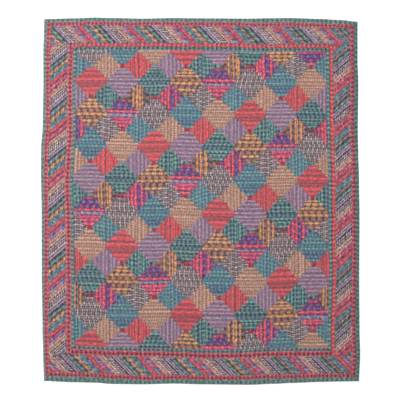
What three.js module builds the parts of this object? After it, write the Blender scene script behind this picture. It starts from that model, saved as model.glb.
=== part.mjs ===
import * as THREE from "three";

// A patchwork duvet cover, lying flat and face up. Millimetres, +X to the right, +Y to the head end,
// +Z up. The origin is the middle of the underside of the cover's box.

// Driving sizes
const COVER_WIDTH = 2130;
const COVER_LENGTH = 2450;
const BACK_THICK = 1;
const FACE_THICK = 1.6;
const SEAM_GAP = 0.4; // neighbouring pieces stand this far apart
const BLOCK_COLUMNS = 8;
const BLOCK_ROWS = 9;
const STEPS_PER_BLOCK = 2; // mesh steps over one patchwork block, each way

// Border strips from the outer edge inwards, with the width of each on every side of the cover
const BORDERS = [
  { strip: "outer_green", left: 19, right: 22, bottom: 30, top: 26, colour: 0x6d8c87 },
  { strip: "outer_red", left: 27, right: 30, bottom: 31, top: 28, colour: 0xa75666 },
  { strip: "diagonal_border", left: 114, right: 107, bottom: 119, top: 111, colour: 0x93777d },
  { strip: "inner_red", left: 36, right: 26, bottom: 37, top: 27, colour: 0xb8616a },
  { strip: "inner_green", left: 20, right: 22, bottom: 22, top: 25, colour: 0x677a7f },
];
const ENDS_THROUGH = "diagonal_border"; // its end strips run through, and in the others the side strips
const FIELD_COLOUR = 0x8d7a82;
const BACK_COLOUR = 0x8a8f94;
const CLOTH_ROUGHNESS = 0.9;

// How far the cover's two long edges lie in from its box, by the distance along them from the middle
const LONG_EDGES = [
  { along: -1225, left: 21, right: 7 },
  { along: -1030, left: 15, right: 0 },
  { along: -870, left: 11, right: 4 },
  { along: -550, left: 6, right: 6 },
  { along: -75, left: 5, right: 4 },
  { along: 170, left: 0, right: 7 },
  { along: 330, left: 1, right: 12 },
  { along: 490, left: 12, right: 15 },
  { along: 810, left: 17, right: 12 },
  { along: 970, left: 16, right: 17 },
  { along: 1225, left: 22, right: 17 },
];

// The same for the two short edges
const SHORT_EDGES = [
  { along: -1065, bottom: 25, top: 10 },
  { along: -860, bottom: 17, top: 5 },
  { along: -725, bottom: 14, top: 0 },
  { along: -590, bottom: 5, top: 3 },
  { along: -390, bottom: 3, top: 7 },
  { along: -190, bottom: 8, top: 3 },
  { along: 10, bottom: 3, top: 5 },
  { along: 340, bottom: 0, top: 7 },
  { along: 475, bottom: 6, top: 4 },
  { along: 610, bottom: 12, top: 3 },
  { along: 810, bottom: 19, top: 9 },
  { along: 945, bottom: 22, top: 16 },
  { along: 1065, bottom: 24, top: 28 },
];

// How far out the narrow strips of the long sides are sewn, by the distance along them
const LONG_STRIPS = [
  { along: -1225, outerLeft: 6, outerRight: 0, innerLeft: 4, innerRight: -6 },
  { along: -1000, outerLeft: 7, outerRight: -1, innerLeft: 4, innerRight: -6 },
  { along: -800, outerLeft: 4, outerRight: -3, innerLeft: 2, innerRight: -4 },
  { along: -600, outerLeft: 3, outerRight: 3, innerLeft: -2, innerRight: 2 },
  { along: -460, outerLeft: 0, outerRight: 4, innerLeft: 0, innerRight: 6 },
  { along: -240, outerLeft: -1, outerRight: 2, innerLeft: -1, innerRight: 0 },
  { along: -50, outerLeft: -1, outerRight: 0, innerLeft: 1, innerRight: 1 },
  { along: 100, outerLeft: -2, outerRight: 1, innerLeft: 3, innerRight: 2 },
  { along: 240, outerLeft: -3, outerRight: 4, innerLeft: -3, innerRight: 0 },
  { along: 380, outerLeft: -3, outerRight: 2, innerLeft: -10, innerRight: -2 },
  { along: 520, outerLeft: -4, outerRight: -3, innerLeft: -6, innerRight: -4 },
  { along: 780, outerLeft: 1, outerRight: -2, innerLeft: -1, innerRight: -7 },
  { along: 950, outerLeft: 0, outerRight: 1, innerLeft: -8, innerRight: -6 },
  { along: 1225, outerLeft: -3, outerRight: 0, innerLeft: -4, innerRight: -4 },
];

// The same for the short sides
const SHORT_STRIPS = [
  { along: -1065, outerBottom: -2, outerTop: 2, innerBottom: -6, innerTop: -4 },
  { along: -840, outerBottom: -5, outerTop: 1, innerBottom: -4, innerTop: -5 },
  { along: -690, outerBottom: -4, outerTop: 1, innerBottom: -2, innerTop: -6 },
  { along: -500, outerBottom: -1, outerTop: 1, innerBottom: -5, innerTop: -1 },
  { along: -350, outerBottom: 4, outerTop: 5, innerBottom: -3, innerTop: 4 },
  { along: -170, outerBottom: 2, outerTop: 0, innerBottom: 5, innerTop: -2 },
  { along: 50, outerBottom: 1, outerTop: 1, innerBottom: 7, innerTop: 0 },
  { along: 220, outerBottom: -1, outerTop: 2, innerBottom: 4, innerTop: 1 },
  { along: 420, outerBottom: -5, outerTop: -4, innerBottom: -3, innerTop: -6 },
  { along: 610, outerBottom: 1, outerTop: -3, innerBottom: 0, innerTop: -7 },
  { along: 780, outerBottom: 2, outerTop: -4, innerBottom: 5, innerTop: 0 },
  { along: 1065, outerBottom: 4, outerTop: 2, innerBottom: 4, innerTop: 5 },
];
const SWAY_FADE = 335; // the inner strips' sway dies out over this much of the field

// Low billows where air lies under the face: middle, reach and height
const BILLOWS = [
  { x: -430, y: 700, reach: 330, height: 2.8 },
  { x: 400, y: 520, reach: 300, height: 2.2 },
  { x: -260, y: -90, reach: 360, height: 3.2 },
  { x: 480, y: -340, reach: 320, height: 2.6 },
  { x: -330, y: -760, reach: 280, height: 2 },
];

// The pattern as it was cut: box 0 is the whole cover, and each border strip takes the next box in
const half = SEAM_GAP / 2;
const boxes = [
  {
    left: -COVER_WIDTH / 2 - half,
    right: COVER_WIDTH / 2 + half,
    bottom: -COVER_LENGTH / 2 - half,
    top: COVER_LENGTH / 2 + half,
  },
];
for (const border of BORDERS) {
  const outside = boxes[boxes.length - 1];
  boxes.push({
    left: outside.left + border.left,
    right: outside.right - border.right,
    bottom: outside.bottom + border.bottom,
    top: outside.top - border.top,
  });
}
const field = boxes[boxes.length - 1];
const ACROSS = { from: field.left, step: (field.right - field.left) / (BLOCK_COLUMNS * STEPS_PER_BLOCK) };
const ALONG = { from: field.bottom, step: (field.top - field.bottom) / (BLOCK_ROWS * STEPS_PER_BLOCK) };

// A curve through each column of a table
function tableCurves(table) {
  const columns = Object.keys(table[0]).slice(1);
  const places = table.map((row) => row.along);
  const values = table.flatMap((row) => columns.map((column) => row[column]));
  return new THREE.CubicInterpolant(places, values, columns.length);
}
const longEdges = tableCurves(LONG_EDGES);
const shortEdges = tableCurves(SHORT_EDGES);
const longStrips = tableCurves(LONG_STRIPS);
const shortStrips = tableCurves(SHORT_STRIPS);

// A table's values, straight between the mesh stations so that neighbouring pieces stay parallel
function valuesAt(curves, station, place) {
  const before = Math.floor((place - station.from) / station.step);
  const start = station.from + before * station.step;
  const share = (place - start) / station.step;
  const near = [...curves.evaluate(start)];
  const far = [...curves.evaluate(start + station.step)];
  return near.map((value, i) => THREE.MathUtils.lerp(value, far[i], share));
}

// The shares of the outer and of the inner strips' sway, by the distance in from one side of the cover. They
// hold on both sides of a seam.
function swayShares(side) {
  const [green, red, diagonal, innerRed, innerGreen] = BORDERS.map((border) => border[side]);
  const slantOutside = green + red;
  const slantInside = slantOutside + diagonal;
  const fieldEdge = slantInside + innerRed + innerGreen;
  const places = [
    SEAM_GAP,
    green - SEAM_GAP,
    slantOutside + SEAM_GAP,
    slantInside - SEAM_GAP,
    fieldEdge + SEAM_GAP,
    fieldEdge + SWAY_FADE,
  ];
  return new THREE.LinearInterpolant(places, [0, 0, 1, 0, 1, 0, 0, 1, 0, 1, 0, 0], 2);
}
const shares = {
  left: swayShares("left"),
  right: swayShares("right"),
  bottom: swayShares("bottom"),
  top: swayShares("top"),
};

// How far over the narrow strips on the two opposite sides carry a point
function swayAt([outerFirst, outerSecond, innerFirst, innerSecond], first, second, place) {
  if (place < 0) {
    const [outer, inner] = shares[first].evaluate(place - boxes[0][first]);
    return -outer * outerFirst - inner * innerFirst;
  }
  const [outer, inner] = shares[second].evaluate(boxes[0][second] - place);
  return outer * outerSecond + inner * innerSecond;
}

// Takes a point of the cut pattern to where it lies in the uneven cover
function lay(u, v) {
  const [left, right] = valuesAt(longEdges, ALONG, v);
  const [bottom, top] = valuesAt(shortEdges, ACROSS, u);
  const over = swayAt(valuesAt(longStrips, ALONG, v), "left", "right", u);
  const up = swayAt(valuesAt(shortStrips, ACROSS, u), "bottom", "top", v);
  return new THREE.Vector2(
    u + THREE.MathUtils.lerp(left, -right, u / COVER_WIDTH + 0.5) + over,
    v + THREE.MathUtils.lerp(bottom, -top, v / COVER_LENGTH + 0.5) + up,
  );
}

function billowAt(point) {
  let height = 0;
  for (const billow of BILLOWS) {
    const distance = Math.hypot(point.x - billow.x, point.y - billow.y) / billow.reach;
    height += billow.height * Math.exp(-distance * distance);
  }
  return height;
}

// The ends of a run and every mesh station between them
function linesBetween(station, from, to) {
  const lines = [from];
  const first = Math.floor((from - station.from) / station.step) + 1;
  for (let i = first; station.from + i * station.step < to; i += 1) {
    lines.push(station.from + i * station.step);
  }
  lines.push(to);
  return lines;
}

// A closed sheet of the face over a grid of pattern points: columns run along u and rows along v
function faceSheet(rows) {
  const columnCount = rows[0].length;
  const points = rows.flat();
  const positions = [];
  for (const top of [false, true]) {
    for (const [u, v] of points) {
      const spot = lay(u, v);
      const underside = BACK_THICK + SEAM_GAP + billowAt(spot);
      positions.push(spot.x, spot.y, underside + (top ? FACE_THICK : 0));
    }
  }
  const at = (row, column, top) => (top ? points.length : 0) + row * columnCount + column;
  const index = [];
  const quad = (a, b, c, d) => index.push(a, b, c, a, c, d);
  const lastRow = rows.length - 1;
  const lastColumn = columnCount - 1;
  for (let r = 0; r < lastRow; r += 1) {
    for (let c = 0; c < lastColumn; c += 1) {
      quad(at(r, c, true), at(r, c + 1, true), at(r + 1, c + 1, true), at(r + 1, c, true));
      quad(at(r, c, false), at(r + 1, c, false), at(r + 1, c + 1, false), at(r, c + 1, false));
    }
  }
  const rim = (rowA, colA, rowB, colB) => {
    quad(at(rowA, colA, false), at(rowB, colB, false), at(rowB, colB, true), at(rowA, colA, true));
  };
  for (let c = 0; c < lastColumn; c += 1) {
    rim(0, c, 0, c + 1);
    rim(lastRow, c + 1, lastRow, c);
  }
  for (let r = 0; r < lastRow; r += 1) {
    rim(r + 1, 0, r, 0);
    rim(r, lastColumn, r + 1, lastColumn);
  }
  const geometry = new THREE.BufferGeometry();
  geometry.setAttribute("position", new THREE.Float32BufferAttribute(positions, 3));
  geometry.setIndex(index);
  geometry.computeVertexNormals();
  return geometry;
}

function clothMesh(name, geometry, colour) {
  const finish = { color: colour, roughness: CLOTH_ROUGHNESS, metalness: 0 };
  const mesh = new THREE.Mesh(geometry, new THREE.MeshStandardMaterial(finish));
  mesh.name = name;
  return mesh;
}

// One border strip from a run of mesh lines and the places of its two long seams
function stripRows(lines, seams, upright) {
  if (upright) {
    const across = linesBetween(ACROSS, ...seams);
    return lines.map((v) => across.map((u) => [u, v]));
  }
  return linesBetween(ALONG, ...seams).map((v) => lines.map((u) => [u, v]));
}

// The four strips of one border, butted at the corners: two run through, and two fit between them
function borderSheets(border, outside, inside) {
  const endsThrough = border.strip === ENDS_THROUGH;
  const sideBox = endsThrough ? inside : outside;
  const endBox = endsThrough ? outside : inside;
  const sideLines = linesBetween(ALONG, sideBox.bottom + half, sideBox.top - half);
  const endLines = linesBetween(ACROSS, endBox.left + half, endBox.right - half);
  const runs = {
    left: [sideLines, [outside.left + half, inside.left - half], true],
    right: [sideLines, [inside.right + half, outside.right - half], true],
    bottom: [endLines, [outside.bottom + half, inside.bottom - half], false],
    top: [endLines, [inside.top + half, outside.top - half], false],
  };
  return Object.entries(runs).map(([side, run]) =>
    clothMesh(`${border.strip}_${side}`, faceSheet(stripRows(...run)), border.colour),
  );
}

// The patchwork field, one sheet inside the borders
function fieldSheet() {
  const across = linesBetween(ACROSS, field.left + half, field.right - half);
  const along = linesBetween(ALONG, field.bottom + half, field.top - half);
  return faceSheet(along.map((v) => across.map((u) => [u, v])));
}

// The plain back panel, flat on what the cover lies on, with the face's outline
function backSheet() {
  const [left, right] = [-COVER_WIDTH / 2, COVER_WIDTH / 2];
  const [bottom, top] = [-COVER_LENGTH / 2, COVER_LENGTH / 2];
  const across = linesBetween(ACROSS, left, right).slice(0, -1);
  const along = linesBetween(ALONG, bottom, top).slice(0, -1);
  const acrossBack = linesBetween(ACROSS, left, right).reverse().slice(0, -1);
  const alongBack = linesBetween(ALONG, bottom, top).reverse().slice(0, -1);
  const outline = [
    ...across.map((u) => lay(u, bottom)),
    ...along.map((v) => lay(right, v)),
    ...acrossBack.map((u) => lay(u, top)),
    ...alongBack.map((v) => lay(left, v)),
  ];
  return new THREE.ExtrudeGeometry(new THREE.Shape(outline), { depth: BACK_THICK, bevelEnabled: false });
}

const cover = new THREE.Group();
cover.add(clothMesh("back_panel", backSheet(), BACK_COLOUR));
cover.add(clothMesh("patchwork_field", fieldSheet(), FIELD_COLOUR));
BORDERS.forEach((border, i) => {
  cover.add(...borderSheets(border, boxes[i], boxes[i + 1]));
});

export default cover;
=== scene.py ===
import bisect
import functools
import math
import random

import bmesh
import bpy
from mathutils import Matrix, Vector, noise


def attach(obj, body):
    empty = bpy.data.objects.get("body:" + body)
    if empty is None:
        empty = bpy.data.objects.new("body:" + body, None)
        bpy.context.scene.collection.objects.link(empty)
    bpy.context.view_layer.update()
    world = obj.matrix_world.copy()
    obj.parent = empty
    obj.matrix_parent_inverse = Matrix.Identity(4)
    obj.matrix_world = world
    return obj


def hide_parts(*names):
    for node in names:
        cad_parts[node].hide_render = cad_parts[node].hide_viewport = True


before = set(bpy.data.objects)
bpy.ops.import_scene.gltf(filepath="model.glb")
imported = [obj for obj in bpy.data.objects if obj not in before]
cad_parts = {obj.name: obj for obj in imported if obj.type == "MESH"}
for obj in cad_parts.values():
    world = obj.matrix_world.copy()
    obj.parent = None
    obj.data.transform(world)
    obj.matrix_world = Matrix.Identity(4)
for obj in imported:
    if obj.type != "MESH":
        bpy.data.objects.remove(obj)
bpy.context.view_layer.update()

# The patchwork field: nine rows of eight courthouse-steps blocks in homespun cotton. Each block is a centre
# square with four logs on every side, the upright ones sewn on first. Logs of one cloth meet over a seam
# between two blocks and form a lantern. The blocks are sewn into rows, and the rows to each other.
COVER_WIDTH = 2.13
COVER_LENGTH = 2.45
FIELD_LEFT = -0.849
FIELD_TOP = 1.008
COLUMN_WIDTHS = (0.213, 0.215, 0.216, 0.216, 0.216, 0.214, 0.210, 0.207)
ROW_HEIGHTS = (0.209, 0.214, 0.219, 0.223, 0.225, 0.226, 0.226, 0.226, 0.226)
SIDE_LOGS = 4  # logs on each side of a block's centre square
BLOCK_UNITS = 2 * SIDE_LOGS + 1  # log widths across a block
LOG_WIDTH = 0.0243
LANTERN_WIDTH = 2 * SIDE_LOGS * LOG_WIDTH
MESH_LINES = (0, 0.14, 0.5, 0.86)  # lines over one log: the seam, beside it, the middle, beside the next
FACE_TOP = 0.0029
CLOTH_THICK = 0.0012
SEAM_DITCH = -0.0006
LOG_PUFF = 0.0003
RIPPLE = 0.0008
RIPPLES = 6  # to a metre, about
RIPPLE_RUN = 0.3  # which run of the noise the ripples follow
ROW_SLOPE = 0.013  # the rows drop this much to the right, most at mid length
ROW_SWAY = (  # how far over to the right the rows are sewn, by distance along the cover
    (-1.225, 0.000),
    (-0.870, -0.001),
    (-0.535, 0.003),
    (-0.195, 0.001),
    (0.030, -0.004),
    (0.250, 0.006),
    (0.470, 0.006),
    (0.690, 0.000),
    (1.225, 0.000),
)

# How far the sewn cover draws in from its box: distance along the edge, then the two edges' insets
LONG_EDGES = (  # left and right
    (-1.225, 0.021, 0.007),
    (-1.030, 0.015, 0.000),
    (-0.870, 0.011, 0.004),
    (-0.550, 0.006, 0.006),
    (-0.075, 0.005, 0.004),
    (0.170, 0.000, 0.007),
    (0.330, 0.001, 0.012),
    (0.490, 0.012, 0.015),
    (0.810, 0.017, 0.012),
    (0.970, 0.016, 0.017),
    (1.225, 0.022, 0.017),
)
SHORT_EDGES = (  # bottom and top
    (-1.065, 0.025, 0.010),
    (-0.860, 0.017, 0.005),
    (-0.725, 0.014, 0.000),
    (-0.590, 0.005, 0.003),
    (-0.390, 0.003, 0.007),
    (-0.190, 0.008, 0.003),
    (0.010, 0.003, 0.005),
    (0.340, 0.000, 0.007),
    (0.475, 0.006, 0.004),
    (0.610, 0.012, 0.003),
    (0.810, 0.019, 0.009),
    (0.945, 0.022, 0.016),
    (1.065, 0.024, 0.028),
)
LONG_STRIPS = (  # how far out the strips are sewn: outer left and right, then inner left and right
    (-1.225, 0.006, 0.000, 0.004, -0.006),
    (-1.000, 0.007, -0.001, 0.004, -0.006),
    (-0.800, 0.004, -0.003, 0.002, -0.004),
    (-0.600, 0.003, 0.003, -0.002, 0.002),
    (-0.460, 0.000, 0.004, 0.000, 0.006),
    (-0.240, -0.001, 0.002, -0.001, 0.000),
    (-0.050, -0.001, 0.000, 0.001, 0.001),
    (0.100, -0.002, 0.001, 0.003, 0.002),
    (0.240, -0.003, 0.004, -0.003, 0.000),
    (0.380, -0.003, 0.002, -0.010, -0.002),
    (0.520, -0.004, -0.003, -0.006, -0.004),
    (0.780, 0.001, -0.002, -0.001, -0.007),
    (0.950, 0.000, 0.001, -0.008, -0.006),
    (1.225, -0.003, 0.000, -0.004, -0.004),
)
SHORT_STRIPS = (  # the same for the bottom and the top
    (-1.065, -0.002, 0.002, -0.006, -0.004),
    (-0.840, -0.005, 0.001, -0.004, -0.005),
    (-0.690, -0.004, 0.001, -0.002, -0.006),
    (-0.500, -0.001, 0.001, -0.005, -0.001),
    (-0.350, 0.004, 0.005, -0.003, 0.004),
    (-0.170, 0.002, 0.000, 0.005, -0.002),
    (0.050, 0.001, 0.001, 0.007, 0.000),
    (0.220, -0.001, 0.002, 0.004, 0.001),
    (0.420, -0.005, -0.004, -0.003, -0.006),
    (0.610, 0.001, -0.003, 0.000, -0.007),
    (0.780, 0.002, -0.004, 0.005, 0.000),
    (1.065, 0.004, 0.002, 0.004, 0.005),
)
SWAY_SHARES = (  # how much of the outer and inner strips' sway there is, by distance in from the edge
    (0.000, 0, 0),
    (0.020, 1, 0),
    (0.050, 1, 0),
    (0.163, 0, 1),
    (0.215, 0, 1),
    (0.550, 0, 0),
)
BILLOWS = (  # where air lies under the face: middle, reach and height
    (-0.43, 0.70, 0.33, 0.0028),
    (0.40, 0.52, 0.30, 0.0022),
    (-0.26, -0.09, 0.36, 0.0032),
    (0.48, -0.34, 0.32, 0.0026),
    (-0.33, -0.76, 0.28, 0.0020),
)


@functools.lru_cache(maxsize=None)
def eased(table, place):
    """A table's values at a place, eased from one row of the table to the next."""
    place = min(max(place, table[0][0]), table[-1][0])
    near, far = next(pair for pair in zip(table, table[1:]) if place <= pair[1][0])
    share = (place - near[0]) / (far[0] - near[0])
    share = share * share * (3 - 2 * share)
    return [a + (b - a) * share for a, b in zip(near[1:], far[1:])]


def strips_out(strips, along, place, size):
    """How far over the narrow strips carry a point, away from the middle on either side."""
    outer_share, inner_share = eased(SWAY_SHARES, size / 2 - abs(place))
    side = 1 if place > 0 else 0
    sway = eased(strips, along)
    return math.copysign(1, place) * (outer_share * sway[side] + inner_share * sway[2 + side])


def lay(u, v):
    """Takes a point of the cut pattern to where it lies in the sewn cover."""
    left, right = eased(LONG_EDGES, v)
    bottom, top = eased(SHORT_EDGES, u)
    across = u / COVER_WIDTH + 0.5
    along = v / COVER_LENGTH + 0.5
    sway = eased(ROW_SWAY, v)[0] * (1 - (2 * u / COVER_WIDTH) ** 2)
    slope = ROW_SLOPE * u * (1 - (2 * v / COVER_LENGTH) ** 2)
    x = u + left * (1 - across) - right * across + sway + strips_out(LONG_STRIPS, v, u, COVER_WIDTH)
    y = v + bottom * (1 - along) - top * along - slope + strips_out(SHORT_STRIPS, u, v, COVER_LENGTH)
    return x, y


def face_height(x, y):
    """The top of the face over the billows, with the slack of washed cotton."""
    height = FACE_TOP + RIPPLE * (0.5 + 0.5 * noise.noise(Vector((RIPPLES * x, RIPPLES * y, RIPPLE_RUN))))
    for middle_x, middle_y, reach, rise in BILLOWS:
        height += rise * math.exp(-((x - middle_x) ** 2 + (y - middle_y) ** 2) / reach**2)
    return height


def pattern_grid(across, along):
    """A flat grid with its lines at these places of the cut pattern, and layers for the cloth on it."""
    mesh = bmesh.new()
    columns, rows = len(across) - 1, len(along) - 1
    bmesh.ops.create_grid(mesh, x_segments=columns, y_segments=rows, size=0.5)
    for vertex in mesh.verts:
        column = round((vertex.co.x + 0.5) * columns)
        row = round((vertex.co.y + 0.5) * rows)
        vertex.co = (across[column], along[row], 0)
    mesh.loops.layers.uv.new("cloth")
    mesh.faces.layers.int.new("patch")
    mesh.faces.layers.float.new("shade")
    mesh.verts.layers.float.new("seam")
    return mesh


def settle(mesh):
    """Lays the flat pattern out as the sewn cover, with a ditch along every seam."""
    patch = mesh.faces.layers.int["patch"]
    seam = mesh.verts.layers.float["seam"]
    for edge in mesh.edges:
        edge.smooth = not edge.is_boundary and len({face[patch] for face in edge.link_faces}) == 1
    for vertex in mesh.verts:
        sewn = any(not edge.smooth for edge in vertex.link_edges)
        # marks each seam for the painted shade that darkens it in the cloths
        vertex[seam] = sewn
        x, y = lay(vertex.co.x, vertex.co.y)
        vertex.co = (x, y, face_height(x, y) + (SEAM_DITCH if sewn else LOG_PUFF))


def cloth_piece(name, mesh, materials, node):
    """Makes a sheet of the cover from its settled mesh."""
    data = bpy.data.meshes.new(name)
    for face in mesh.faces:
        face.smooth = True
    mesh.to_mesh(data)
    mesh.free()
    for material in materials:
        data.materials.append(material)
    piece = bpy.data.objects.new(name, data)
    bpy.context.scene.collection.objects.link(piece)
    thickness = piece.modifiers.new("thickness", "SOLIDIFY")
    thickness.thickness = CLOTH_THICK
    thickness.offset = -1
    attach(piece, "root")
    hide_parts(node)
    return piece


THREAD_PITCH = 0.0013
SLUB_SCALE = (45, 125, 1)  # slubs to a metre, along the yarn and across it
SLUB_GRAIN = (2.0, 0.7)  # detail and roughness of the slubs
SLUB_DEPTH = 1.0
FLECK_SCALE = 85
FLECK_GRAIN = (1.0, 1.0)  # the same for the flecks
DARKEST_FLECK = 0.2
OVER_SHARE = 0.2  # how much more of a yarn shows where it lies over the other
WEAVE_HEIGHT = 0.0003
WEAVE_STRENGTH = 0.5
# how much painted shade darkens the cloth at the seams, fading out by the next mesh line
SEAM_SHADE = 0.25
UPRIGHT_START = BLOCK_UNITS * LOG_WIDTH  # where the upright chart starts over the cloth's width
SCREEN_GAMMA = 2.2
DYE_DEPTH = 0.71  # the yarns are dyed this much deeper than they look in the studio light


def dyed(colour):
    """A yarn's colour from the way it looks, three numbers up to 255."""
    return (*(DYE_DEPTH * (part / 255) ** SCREEN_GAMMA for part in colour), 1)


def wire(tree, kind, *feeds, **settings):
    """Adds a node with these settings, and joins or sets its inputs in order."""
    made = tree.nodes.new(kind)
    for setting, value in settings.items():
        setattr(made, setting, value)
    for socket, feed in zip(made.inputs, feeds):
        if isinstance(feed, bpy.types.NodeSocket):
            tree.links.new(feed, socket)
        elif feed is not None:
            socket.default_value = feed
    return made.outputs[0]


def charted(tree, place, chart, yarns):
    """A colour ramp that holds one chart of yarns, a letter for each group of threads."""
    chart = chart.replace(" ", "")
    colour = wire(tree, "ShaderNodeValToRGB", place)
    ramp = colour.node.color_ramp
    ramp.interpolation = "CONSTANT"
    ramp.elements.remove(ramp.elements[1])
    ramp.elements[0].color = dyed(yarns[chart[0]])
    for step in range(1, len(chart)):
        if chart[step] != chart[step - 1]:
            ramp.elements.new(step / len(chart)).color = dyed(yarns[chart[step]])
    return colour


def woven(name, yarns, charts, width, bars, repeat, bar_share=0.4, upright_share=None, fleck=1.2):
    """Homespun: charted stripes over its width, bars that repeat along it, and plain-weave threads."""
    material = bpy.data.materials.new(name)
    material.use_nodes = True
    tree = material.node_tree
    shader = tree.nodes["Principled BSDF"]

    def math_node(operation, *feeds):
        return wire(tree, "ShaderNodeMath", *feeds, operation=operation)

    spot = wire(tree, "ShaderNodeUVMap", uv_map="cloth")
    parts = wire(tree, "ShaderNodeSeparateXYZ", spot).node
    along, across = parts.outputs[0], parts.outputs[1]

    # Stripes over the width, and the upright logs' own chart and share of the bars where they have one
    place = math_node("MULTIPLY", across, 1 / width)
    stripes = charted(tree, math_node("FRACT", place), charts[0], yarns)
    if len(charts) == 2:
        upright_place = math_node("MULTIPLY_ADD", across, 1 / width, -UPRIGHT_START / width)
        upright = charted(tree, upright_place, charts[1], yarns)
        is_upright = math_node("GREATER_THAN", across, UPRIGHT_START - 0.5 * LOG_WIDTH)
        stripes = wire(tree, "ShaderNodeMixRGB", is_upright, stripes, upright)
        if upright_share:
            bar_share = math_node("MULTIPLY_ADD", is_upright, upright_share - bar_share, bar_share)
    turns = math_node("MULTIPLY", along, 1 / repeat)
    cross_bars = charted(tree, math_node("FRACT", turns), bars, yarns)

    # Uneven hand-spun yarn, light and dark along the stripes and along the bars
    long_slubs = wire(tree, "ShaderNodeMapping", spot, None, None, SLUB_SCALE)
    short_slubs = wire(tree, "ShaderNodeMapping", spot, None, None, (SLUB_SCALE[1], SLUB_SCALE[0], 1))
    spun = []
    for colour, places in ((stripes, long_slubs), (cross_bars, short_slubs)):
        uneven = wire(tree, "ShaderNodeTexNoise", places, None, 1.0, *SLUB_GRAIN, noise_dimensions="2D")
        depth = math_node("MULTIPLY_ADD", uneven, 2 * SLUB_DEPTH, 1 - SLUB_DEPTH)
        spun.append(wire(tree, "ShaderNodeVectorMath", colour, depth, operation="MULTIPLY"))

    # Plain weave: the bars' yarn and the stripes' yarn come to the top by turns
    wave = 2 * math.pi / THREAD_PITCH
    ends = math_node("SINE", math_node("MULTIPLY", along, wave))
    picks = math_node("SINE", math_node("MULTIPLY", across, wave))
    over = math_node("MULTIPLY", ends, picks)
    share = math_node("MULTIPLY_ADD", over, OVER_SHARE, bar_share)
    cloth = wire(tree, "ShaderNodeMixRGB", share, *spun)

    # Each patch has faded in its own way and in flecks, and painted shade darkens the seams, where the
    # ditches lie in shadow
    patch_shade = wire(tree, "ShaderNodeAttribute", attribute_name="shade").node.outputs["Fac"]
    seam = wire(tree, "ShaderNodeAttribute", attribute_name="seam").node.outputs["Fac"]
    light = math_node("MULTIPLY", patch_shade, math_node("MULTIPLY_ADD", seam, -SEAM_SHADE, 1.0))
    flecks = wire(tree, "ShaderNodeTexNoise", spot, None, FLECK_SCALE, *FLECK_GRAIN, noise_dimensions="2D")
    flecks = math_node("MAXIMUM", math_node("MULTIPLY_ADD", flecks, 2 * fleck, 1 - fleck), DARKEST_FLECK)
    light = math_node("MULTIPLY", light, flecks)
    cloth = wire(tree, "ShaderNodeVectorMath", cloth, light, operation="MULTIPLY")
    bump = tree.nodes.new("ShaderNodeBump")
    bump.inputs["Strength"].default_value = WEAVE_STRENGTH
    bump.inputs["Distance"].default_value = WEAVE_HEIGHT
    tree.links.new(over, bump.inputs["Height"])
    tree.links.new(cloth, shader.inputs["Base Color"])
    tree.links.new(bump.outputs["Normal"], shader.inputs["Normal"])
    shader.inputs["Roughness"].default_value = 0.9
    shader.inputs["Specular IOR Level"].default_value = 0.2
    shader.inputs["Sheen Weight"].default_value = 0.08
    shader.inputs["Sheen Roughness"].default_value = 0.5
    return material


# The eight cloths. Stripes are charted in letters over the width of a repeat, or over the eight logs of a
# lantern with four groups of threads to a log: first the lanterns that lie flat, from the top, and then
# the upright ones, from the left.
RED_YARNS = {"c": (230, 98, 104), "r": (186, 88, 96), "d": (110, 78, 78), "m": (163, 92, 98)}
red_cloth = woven(
    "red_cloth",
    RED_YARNS,
    ("rccr mdrc crdm rccr mrdm rmdm ccrm rccr", "dccm crdc cdrc dccm dmcr ccdc rdcc drcd"),
    LANTERN_WIDTH,
    "rcdr",
    0.014,
    bar_share=0.25,
    fleck=0.7,
)
PLUM_YARNS = {"l": (180, 155, 174), "m": (147, 114, 135), "p": (121, 89, 110), "g": (131, 121, 136)}
plum_cloth = woven(
    "plum_cloth",
    PLUM_YARNS,
    ("mlmpglgpmlmp",),
    0.078,
    "lmpg",
    0.0125,
    bar_share=0.28,
    fleck=0.75,
)
GREEN_YARNS = {"j": (126, 164, 154), "t": (96, 118, 120), "n": (54, 68, 88), "s": (98, 108, 126)}
green_cloth = woven(
    "green_cloth",
    GREEN_YARNS,
    ("jjnn jtnn jsnt sjnn sssn jjnn jstn jjnn", "jjnn sjnn jjnn sjns sjnj njjn njsn jtnn"),
    LANTERN_WIDTH,
    "jjtnnt",
    0.030,
)
GOLD_YARNS = {
    "o": (219, 152, 102),
    "p": (222, 168, 138),
    "a": (142, 100, 90),
    "k": (82, 78, 84),
    "n": (54, 66, 104),
}
gold_cloth = woven(
    "gold_cloth",
    GOLD_YARNS,
    ("kopk kook kpok kaak aook nkan kopk kaak", "kkak nkak nook noon koon nook nkkn kakk"),
    LANTERN_WIDTH,
    "oopakkap",
    0.044,
    upright_share=0.28,
)
MAGENTA_YARNS = {
    "p": (188, 76, 112),
    "c": (238, 106, 111),
    "b": (66, 96, 160),
    "v": (120, 76, 122),
    "l": (132, 146, 172),
    "k": (76, 68, 82),
}
magenta_cloth = woven(
    "magenta_cloth",
    MAGENTA_YARNS,
    ("kppv kbbv kvbv kccp klll kccp pccv kccp", "kpvp kccp kccp kccp kbbp kccv kpvl kbbb"),
    LANTERN_WIDTH,
    "ccpvkbkv",
    0.044,
    bar_share=0.33,
    fleck=1.5,
)
GREY_YARNS = {"w": (224, 210, 211), "g": (137, 118, 122), "k": (76, 65, 69), "s": (158, 141, 145)}
grey_cloth = woven("grey_cloth", GREY_YARNS, ("skgksgskgk",), 0.081, "wksk", 0.031, bar_share=0.46)
BLUE_YARNS = {"s": (97, 117, 144), "t": (94, 128, 134), "l": (128, 172, 160), "n": (72, 84, 112)}
blue_cloth = woven(
    "blue_cloth",
    BLUE_YARNS,
    ("nsts ntls ntlt nsts nltt nssn nssn ntls", "nslt nstl nttl nslt nsls ntls nstl nsts"),
    LANTERN_WIDTH,
    "sltn",
    0.0255,
    fleck=0.85,
)
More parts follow.
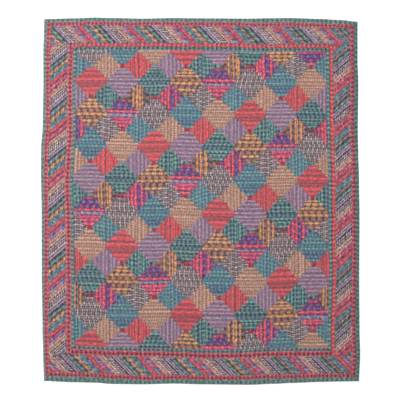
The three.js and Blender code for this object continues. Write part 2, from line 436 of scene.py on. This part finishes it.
TAN_YARNS = {"t": (182, 141, 124), "b": (120, 86, 75), "c": (214, 174, 158)}
tan_cloth = woven("tan_cloth", TAN_YARNS, ("tctbtttbtctb",), 0.069, "tcb", 0.016, fleck=0.65)
red_centre = woven(
    "red_centre",
    {"r": (180, 58, 70), "d": (132, 68, 76)},
    ("rrdr rrrd",),
    LOG_WIDTH,
    "rrd",
    0.012,
)
teal_centre = woven(
    "teal_centre",
    {"t": (106, 147, 147), "g": (132, 136, 141), "d": (86, 114, 121)},
    ("ttdt gtdt",),
    LOG_WIDTH,
    "tgd",
    0.012,
)
CLOTHS = (
    red_cloth,
    plum_cloth,
    green_cloth,
    gold_cloth,
    magenta_cloth,
    grey_cloth,
    blue_cloth,
    tan_cloth,
)
FIELD_CLOTHS = (*CLOTHS, red_centre, teal_centre)
ROW_SHIFT = 3  # each row starts this many cloths later in their order, and each column one later
RIGHT_CLOTH = 7  # the first block's four cloths, by number in that order
LEFT_CLOTH = 6
TOP_CLOTH = 5
BOTTOM_CLOTH = 0
PATCHES = 2 * BLOCK_UNITS  # numbers kept for the patches of one block
CUT_SLIP = 0.003  # how far a seam may be off its line
LOG_SHADES = (0.95, 1.05)  # each log has faded a little differently
LOG_SLIDE = (-0.5, 0.5)  # how far along its cloth a log is cut
LOG_STEP = (-0.15, 0.15)  # how far over its stripes a log is cut, in log widths
LOOSE_GOLD = 3  # upright gold logs were cut with less heed to the stripes
tints = random.Random(11)


def log_seams(start, length):
    """The first seam of a block and those between its logs, which are cut and sewn by hand."""
    unit = length / BLOCK_UNITS
    slips = [tints.uniform(-CUT_SLIP, CUT_SLIP) for _ in range(1, BLOCK_UNITS)]
    return [start, *(start + unit * log + slip for log, slip in enumerate(slips, 1))]


def mesh_lines(seams):
    """Mesh lines over the logs between these seams."""
    lines = [near + (far - near) * line for near, far in zip(seams, seams[1:]) for line in MESH_LINES]
    return [*lines, seams[-1]]


def sew_row(row, top, height):
    """One row of blocks, with each log's cloth, place on its lantern's chart and own slight shade."""
    upright_seams = []
    left = FIELD_LEFT
    for width in COLUMN_WIDTHS:
        upright_seams += log_seams(left, width)
        left += width
    upright_seams.append(left)
    flat_seams = [*log_seams(0, height), height]  # from the row's top downwards
    along = [top - line for line in mesh_lines(flat_seams)]
    mesh = pattern_grid(mesh_lines(upright_seams), along[::-1])
    cloth_place = mesh.loops.layers.uv["cloth"]
    patch_number = mesh.faces.layers.int["patch"]
    shade = mesh.faces.layers.float["shade"]
    patches = range(PATCHES * len(COLUMN_WIDTHS))
    shades = [tints.uniform(*LOG_SHADES) for _ in patches]
    cuts = [(tints.uniform(*LOG_SLIDE), tints.uniform(*LOG_STEP)) for _ in patches]
    for face in mesh.faces:
        spot = face.calc_center_median()
        over = bisect.bisect(upright_seams, spot.x) - 1
        down = bisect.bisect(flat_seams, top - spot.y) - 1
        column, right = divmod(over, BLOCK_UNITS)
        edges_x = upright_seams[over], upright_seams[over + 1]
        edges_y = flat_seams[down], flat_seams[down + 1]
        right -= SIDE_LOGS
        down -= SIDE_LOGS
        upright = abs(right) > abs(down)
        outwards = right if upright else down
        if upright:
            side_cloth = RIGHT_CLOTH if right > 0 else LEFT_CLOTH
            patch = SIDE_LOGS + right
        else:
            side_cloth = BOTTOM_CLOTH if down > 0 else TOP_CLOTH
            patch = BLOCK_UNITS + SIDE_LOGS + down
        cloth = CLOTHS[(column + ROW_SHIFT * row + side_cloth) % len(CLOTHS)]
        if outwards == 0:
            cloth = red_centre if (row + column) % 2 else teal_centre
        patch += PATCHES * column
        face.material_index = FIELD_CLOTHS.index(cloth)
        face[patch_number] = patch
        face[shade] = shades[patch]
        log = outwards - 1 if outwards > 0 else 2 * SIDE_LOGS + outwards  # counted over the lantern
        if row == 0 and not upright and down < 0:
            log -= SIDE_LOGS  # the first row's top logs were cut from the other half of the repeat
        slide, step_over = cuts[patch]
        if upright and cloth == gold_cloth:
            step_over *= LOOSE_GOLD
        start = (UPRIGHT_START if upright else 0) + LOG_WIDTH * (log + step_over)
        near, far = edges_x if upright else edges_y
        for loop in face.loops:
            u, depth = loop.vert.co.x, top - loop.vert.co.y
            run, place = (depth, u) if upright else (u, depth)
            loop[cloth_place].uv = (run + slide, start + LOG_WIDTH * (place - near) / (far - near))
    settle(mesh)
    cloth_piece(
        f"block_row_{row + 1}",
        mesh,
        FIELD_CLOTHS,
        "patchwork_field",
    )


row_top = FIELD_TOP
for row, height in enumerate(ROW_HEIGHTS):
    sew_row(row, row_top, height)
    row_top -= height

# The inner strips: a green homespun check sewn round the field and a red one round that, each cut about a
# log wide. The side strips run the full length, and the end strips fit between them.
SIDES = ("left", "right", "bottom", "top")
STRIP_STEP = 0.024
field_box = (FIELD_LEFT, FIELD_LEFT + sum(COLUMN_WIDTHS), FIELD_TOP - sum(ROW_HEIGHTS), FIELD_TOP)


def grown(box, widths):
    """A box of the pattern with a strip of these widths added on its four sides."""
    return box[0] - widths[0], box[1] + widths[1], box[2] - widths[2], box[3] + widths[3]


def run_lines(start, end, step):
    """Even mesh lines from one end to the other, about a step apart."""
    count = max(1, round((end - start) / step))
    return [start + (end - start) * i / count for i in range(count + 1)]


def narrow_strips(strip, inside, widths, cloths):
    """The four strips of one narrow border. Each chart is read from the field outwards."""
    outside = grown(inside, widths)
    for side, width, material in zip(SIDES, widths, cloths):
        upright = side in ("left", "right")
        edge = inside[SIDES.index(side)]
        sign = 1 if side in ("right", "top") else -1
        over = sorted(edge + sign * width * line for line in (*MESH_LINES, 1))
        ends = (outside[2], outside[3]) if upright else (inside[0], inside[1])
        run = run_lines(*ends, STRIP_STEP)
        mesh = pattern_grid(over, run) if upright else pattern_grid(run, over)
        cloth_place = mesh.loops.layers.uv["cloth"]
        shade = mesh.faces.layers.float["shade"]
        for face in mesh.faces:
            face[shade] = 1
            for loop in face.loops:
                u, v = loop.vert.co.x, loop.vert.co.y
                loop[cloth_place].uv = (v, sign * (u - edge)) if upright else (u, sign * (v - edge))
        settle(mesh)
        name = f"{strip}_{side}"
        cloth_piece(f"{name}_strip", mesh, [material], name)
    return outside


def strip_cloths(strip, yarns, bars, charts, widths, repeats, bar_shares):
    """A check for each of the four strips of one narrow border."""
    weaves = zip(SIDES, charts, widths, repeats, bar_shares)
    return [
        woven(f"{strip}_{side}_cloth", yarns, (chart,), width, bars, repeat, bar_share=bar_share)
        for side, chart, width, repeat, bar_share in weaves
    ]


GREEN_CHECK = {
    "j": (148, 178, 168),
    "t": (92, 122, 118),
    "n": (58, 72, 92),
    "s": (98, 110, 118),
    "g": (124, 144, 138),
    "d": (64, 112, 102),
    "v": (107, 92, 100),
    "w": (150, 142, 146),
    "b": (73, 92, 124),
    "h": (88, 132, 131),
    # z, the darkest green, lines the cover's right edge: partly the check's own dark thread, partly painted
    # shade of the turned edge
    "z": (48, 86, 80),
}
GREEN_BARS = "jjtnnt"
GREEN_REPEATS = 4 * (0.031,)
RED_CHECK = {
    "c": (206, 92, 100),
    "o": (234, 92, 80),
    "e": (208, 132, 138),
    "r": (170, 80, 92),
    "p": (178, 120, 127),
    "d": (152, 56, 67),
    "k": (100, 46, 55),
    "u": (110, 66, 80),
    "m": (158, 124, 131),
    "q": (130, 114, 120),
}
RED_BARS = "eerkkr"
RED_REPEAT = 0.0305
EVEN_SHARES = 4 * (0.4,)  # of the bars, on all four sides
INNER_GREEN = (0.020, 0.022, 0.022, 0.025)
inner_green_cloths = strip_cloths(
    "inner_green",
    GREEN_CHECK,
    GREEN_BARS,
    ("stgs", "bhghn", "wsnsv", "gsnvv"),
    INNER_GREEN,
    GREEN_REPEATS,
    (0.45, 0.45, 0.4, 0.4),
)
inner_red_box = narrow_strips("inner_green", field_box, INNER_GREEN, inner_green_cloths)
INNER_RED = (0.036, 0.026, 0.037, 0.027)
inner_red_cloths = strip_cloths(
    "inner_red",
    RED_CHECK,
    RED_BARS,
    ("erddpe", "doocm", "erdkre", "rocrq"),
    INNER_RED,
    4 * (RED_REPEAT,),
    EVEN_SHARES,
)
diagonal_box = narrow_strips("inner_red", inner_red_box, INNER_RED, inner_red_cloths)

# The slanting border: strips of the same eight cloths, sewn edge to edge in sets, cut on the slant and
# joined so that they run round the cover in one order. The end sides run through the corners, and the
# long sides are butted between them.
DIAGONAL = (0.114, 0.107, 0.119, 0.111)
SLANT_STEP = 0.019
SEAM_REACH = 0.0034  # how far the shade of a long seam reaches into the strips
SLANT_WIDTH = 0.030
SLANT_RED = {"c": (214, 98, 108), "r": (174, 90, 100), "d": (112, 68, 76), "m": (166, 96, 108)}
SLANT_BLUE = {"s": (101, 114, 144), "t": (98, 125, 134), "l": (132, 169, 160), "n": (76, 81, 112)}
SLANT_GREEN = {"j": (132, 164, 150), "t": (102, 118, 116), "n": (62, 68, 82), "s": (106, 108, 120)}
SLANT_PLUM = {"l": (188, 166, 186), "p": (64, 42, 64)}
SLANT_MAGENTA = {
    "p": (182, 87, 114),
    "c": (230, 109, 110),
    "b": (68, 90, 142),
    "v": (123, 86, 120),
    "l": (140, 158, 174),
}
SLANT_CORAL = {"c": (222, 110, 116), "p": (170, 86, 114), "v": (96, 72, 104)}
SLANT_GOLD = {"o": (212, 153, 109), "p": (216, 169, 145), "a": (138, 101, 97), "k": (79, 79, 91)}
DARK_GOLD = {"p": (230, 172, 144), "k": (86, 90, 98), "n": (56, 74, 96), "a": (150, 108, 98)}
SLANT_TAN = {"t": (186, 144, 131), "b": (122, 88, 80), "c": (218, 178, 166)}
SLANT_GREY = {"w": (234, 208, 215), "k": (26, 18, 24)}
SLANT_CHARTS = (  # letter, name, width share, yarns, stripes, bars and repeat, share of the bars, flecks
    ("R", "red", 1, SLANT_RED, "drccrm", "rcrd", 0.021, 0.25, 1.5),
    ("B", "blue", 0.95, SLANT_BLUE, "lstsnl", "ttllssn", 0.062, 0.4, 1.7),
    ("O", "gold", 0.9, SLANT_GOLD, "kaooak", "oopkk", 0.043, 0.5, 1.5),
    ("o", "dark_gold", 0.9, DARK_GOLD, "knpakn", "pkakkn", 0.043, 0.5, 1.7),
    ("G", "green", 1.05, SLANT_GREEN, "nsjjnn", "jtsnns", 0.048, 0.4, 1.7),
    ("P", "plum", 0.9, SLANT_PLUM, "ppllppll", "llp", 0.016, 0.25, 1.5),
    ("W", "grey", 1.2, SLANT_GREY, "wkkwkkwkk", "wkk", 0.0165, 0.5, 1.8),
    ("T", "tan", 0.9, SLANT_TAN, "cttbtc", "ttcb", 0.019, 0.4, 1.8),
    ("M", "blue_magenta", 1.1, SLANT_MAGENTA, "plbvp", "llbvpccp", 0.080, 0.45, 1.2),
    ("m", "coral_magenta", 1.1, SLANT_CORAL, "vpccv", "ccpvpv", 0.062, 0.5, 1.6),
)
slant_cloths = {}
slant_shares = {}
for letter, cloth_name, share, yarns, stripes, bars, repeat, bar_share, fleck in SLANT_CHARTS:
    slant_shares[letter] = share
    slant_cloths[letter] = woven(
        f"{cloth_name}_slant",
        yarns,
        (stripes,),
        SLANT_WIDTH,
        bars,
        repeat,
        bar_share=bar_share,
        fleck=fleck,
    )
SLANTS = (0.89, 0.95, 0.97, 1.0)  # how far a strip leans along the border for its way out, on each side
SLANT_SHADES = (0.92, 1.02)  # each strip has faded a little differently
SLANT_SLIDE = (-0.5, 0.5)  # how far along its cloth a strip is cut
CUT_TOLERANCE = 1e-6
STRIP_SETS = (  # for each side, where a set of strips starts on the border's middle line, and its cloths
    (
        (-1.252, "RBOGPWTM"),
        (-0.910, "RBOGPWTM"),
        (-0.562, "RBOGPWTM"),
        (-0.200, "RBOGPWTm"),
        (0.142, "RBOGPWTm"),
        (0.471, "RBOGPWTm"),
        (0.809, "RBOGPWTM"),
        (1.098, "RBOG"),
        (1.268, ""),
    ),
    (
        (-1.380, "RmTWPGOB"),
        (-1.058, "RmTWPGoB"),
        (-0.746, "RmTWPGoB"),
        (-0.416, "RmTWP"),
        (-0.178, "RmTWPGoB"),
        (0.146, "RmTWPGoB"),
        (0.479, "RmWPGoB"),
        (0.758, "RmTWPGoB"),
        (1.055, "RmTWPG"),
        (1.300, ""),
    ),
    (
        (-1.243, "PGOB"),
        (-1.088, "RMTWPGOB"),
        (-0.729, "RMTWPGOB"),
        (-0.387, "RMTWPGOB"),
        (-0.043, "RMTWPGOB"),
        (0.299, "RMTWPGoB"),
        (0.624, "RMTWPGoB"),
        (0.947, "RMTWPGo"),
        (1.247, ""),
    ),
    (
        (-1.280, "PWTM"),
        (-1.110, "RBOGPWTM"),
        (-0.797, "RBOGPWTM"),
        (-0.455, "RBOGPWTM"),
        (-0.114, "RBOGPWTM"),
        (0.216, "RBoGPWTM"),
        (0.562, "RBoGPWTM"),
        (0.884, "RBoGPWTM"),
        (1.190, "RBOG"),
        (1.350, ""),
    ),
)


def slanting_side(side, inside, outside):
    """One side of the slanting border, skewed from a straight grid and cut square at its ends."""
    number = SIDES.index(side)
    upright = side in ("left", "right")
    inner, outer = inside[number], outside[number]
    slant = SLANTS[number]
    sets = STRIP_SETS[number]
    cloths = "".join(letters for _, letters in sets)
    seams = [sets[0][0]]
    for (begin, letters), (end, _) in zip(sets, sets[1:]):
        whole = sum(slant_shares[letter] for letter in letters)
        for letter in letters:
            seams.append(seams[-1] + (end - begin) * slant_shares[letter] / whole)
    low, high = sorted((inner, outer))
    over = [low, *run_lines(low + SEAM_REACH, high - SEAM_REACH, SLANT_STEP), high]
    run = mesh_lines(seams)
    mesh = pattern_grid(over, run) if upright else pattern_grid(run, over)
    cloth_place = mesh.loops.layers.uv["cloth"]
    patch_number = mesh.faces.layers.int["patch"]
    shade = mesh.faces.layers.float["shade"]
    shades = [tints.uniform(*SLANT_SHADES) for _ in cloths]
    slides = [tints.uniform(*SLANT_SLIDE) for _ in cloths]
    for face in mesh.faces:
        spot = face.calc_center_median()
        strip = bisect.bisect(seams, spot.y if upright else spot.x) - 1
        face.material_index = list(slant_cloths).index(cloths[strip])
        face[patch_number] = strip
        face[shade] = shades[strip]
        for loop in face.loops:
            along, out = loop.vert.co.x, loop.vert.co.y
            if upright:
                along, out = out, along
            across = (along - seams[strip]) / (seams[strip + 1] - seams[strip])
            slant_run = (out - inner) * math.hypot(1, slant) + slides[strip]
            loop[cloth_place].uv = (slant_run, SLANT_WIDTH * across)
    middle = (inner + outer) / 2
    for vertex in mesh.verts:
        if upright:
            vertex.co.y += slant * (vertex.co.x - middle)
        else:
            vertex.co.x -= slant * (vertex.co.y - middle)
    ends = (inside[2], inside[3]) if upright else (outside[0], outside[1])
    length_axis = Vector((0, 1, 0)) if upright else Vector((1, 0, 0))
    for end, way in zip(ends, (-1, 1)):
        bmesh.ops.bisect_plane(
            mesh,
            geom=mesh.verts[:] + mesh.edges[:] + mesh.faces[:],
            dist=CUT_TOLERANCE,
            plane_co=end * length_axis,
            plane_no=way * length_axis,
            clear_outer=True,
        )
    settle(mesh)
    name = f"diagonal_border_{side}"
    materials = slant_cloths.values()
    cloth_piece(f"{name}_strips", mesh, materials, name)


outer_red_box = grown(diagonal_box, DIAGONAL)
for side in SIDES:
    slanting_side(side, diagonal_box, outer_red_box)

# The outer strips: a red check and a green one like the inner pair. The green one's edge is the cover's
# own edge, seamed to the back and turned.
OUTER_RED = (0.027, 0.030, 0.031, 0.028)
outer_red_cloths = strip_cloths(
    "outer_red",
    RED_CHECK,
    RED_BARS,
    ("pcrdm", "prrduq", "prddm", "prdrm"),
    OUTER_RED,
    (0.029, RED_REPEAT, 0.027, 0.027),
    EVEN_SHARES,
)
outer_green_box = narrow_strips("outer_red", outer_red_box, OUTER_RED, outer_red_cloths)
OUTER_GREEN = (0.019, 0.022, 0.030, 0.026)
outer_green_cloths = strip_cloths(
    "outer_green",
    GREEN_CHECK,
    GREEN_BARS,
    # the right strip's outermost yarn z paints a dark line along the cover's edge, partly its own dark
    # thread and partly painted shade where the edge turns under
    ("wsgg", "sddz", "gttttt", "wsttt"),
    OUTER_GREEN,
    GREEN_REPEATS,
    4 * (0.3,),
)
narrow_strips("outer_green", outer_green_box, OUTER_GREEN, outer_green_cloths)

# The back panel: one plain width of grey cotton, cut to the face's outline and seamed to it all round. It
# lies flat on what the cover lies on.
BACK_THICK = 0.001
BACK_INSET = 0.0015  # the seam draws the back in behind the face's edge
BACK_STEP = 0.05
back_mesh = pattern_grid(
    run_lines(BACK_INSET - COVER_WIDTH / 2, COVER_WIDTH / 2 - BACK_INSET, BACK_STEP),
    run_lines(BACK_INSET - COVER_LENGTH / 2, COVER_LENGTH / 2 - BACK_INSET, BACK_STEP),
)
back_place = back_mesh.loops.layers.uv["cloth"]
back_shade = back_mesh.faces.layers.float["shade"]
for face in back_mesh.faces:
    face[back_shade] = 1
    for loop in face.loops:
        loop[back_place].uv = (loop.vert.co.x, loop.vert.co.y + COVER_LENGTH / 2)
for vertex in back_mesh.verts:
    x, y = lay(vertex.co.x, vertex.co.y)
    vertex.co = (x, y, BACK_THICK)
BACK_YARNS = {"g": (150, 154, 158), "d": (138, 142, 148)}
back_cotton = woven("back_cotton", BACK_YARNS, ("gdg",), COVER_LENGTH, "gd", 0.004, fleck=0.3)
back_panel = cloth_piece(
    "back_panel_cloth",
    back_mesh,
    [back_cotton],
    "back_panel",
)
back_panel.modifiers["thickness"].thickness = BACK_THICK

# The studio: a white floor, soft light from all round with a broad lamp up and to the left, and a camera
# straight above the cover.
FLOOR_SIZE = 20
FLOOR_DROP = 0.0005  # the floor lies this far under the back
FLOOR_WHITE = (0.95, 0.95, 0.95, 1)
SKY_STRENGTH = 0.48
LAMP_WIDTH = 2.5
LAMP_WATTS = 305
LAMP_PLACE = (-1.1, 1.35, 5.0)
FRAME_WIDTH = 2.669  # what the picture takes in at the cover
FRAME_MIDDLE = (-0.0027, 0.0073)  # the cover lies a little off the picture's middle
LENS = 100
SENSOR = 36
PICTURE_SOFTNESS = 1.8  # how many picture points a ray is spread over
floor_mesh = bmesh.new()
bmesh.ops.create_grid(floor_mesh, x_segments=1, y_segments=1, size=FLOOR_SIZE)
floor_data = bpy.data.meshes.new("floor")
floor_mesh.to_mesh(floor_data)
floor_mesh.free()
floor = bpy.data.objects.new("floor", floor_data)
floor.location.z = -FLOOR_DROP
bpy.context.scene.collection.objects.link(floor)
floor_paint = bpy.data.materials.new("floor_paint")
floor_paint.use_nodes = True
floor_paint.node_tree.nodes["Principled BSDF"].inputs["Base Color"].default_value = FLOOR_WHITE
floor_paint.node_tree.nodes["Principled BSDF"].inputs["Roughness"].default_value = 0.9
floor_data.materials.append(floor_paint)

studio = bpy.data.worlds.new("studio")
studio.use_nodes = True
studio.node_tree.nodes["Background"].inputs["Color"].default_value = (1, 1, 1, 1)
studio.node_tree.nodes["Background"].inputs["Strength"].default_value = SKY_STRENGTH
bpy.context.scene.world = studio
lamp_data = bpy.data.lights.new("broad_lamp", "AREA")
lamp_data.shape = "DISK"
lamp_data.size = LAMP_WIDTH
lamp_data.energy = LAMP_WATTS
lamp = bpy.data.objects.new("broad_lamp", lamp_data)
lamp.location = LAMP_PLACE
lamp.rotation_euler = (Vector((0, 0, 0)) - lamp.location).to_track_quat("-Z", "Y").to_euler()
bpy.context.scene.collection.objects.link(lamp)

camera_data = bpy.data.cameras.new("camera")
camera_data.lens = LENS
camera_data.sensor_width = SENSOR
camera = bpy.data.objects.new("camera", camera_data)
camera.location = (*FRAME_MIDDLE, FRAME_WIDTH * LENS / SENSOR)
bpy.context.scene.collection.objects.link(camera)
bpy.context.scene.camera = camera
bpy.context.scene.view_settings.view_transform = "Standard"
bpy.context.scene.cycles.filter_width = PICTURE_SOFTNESS
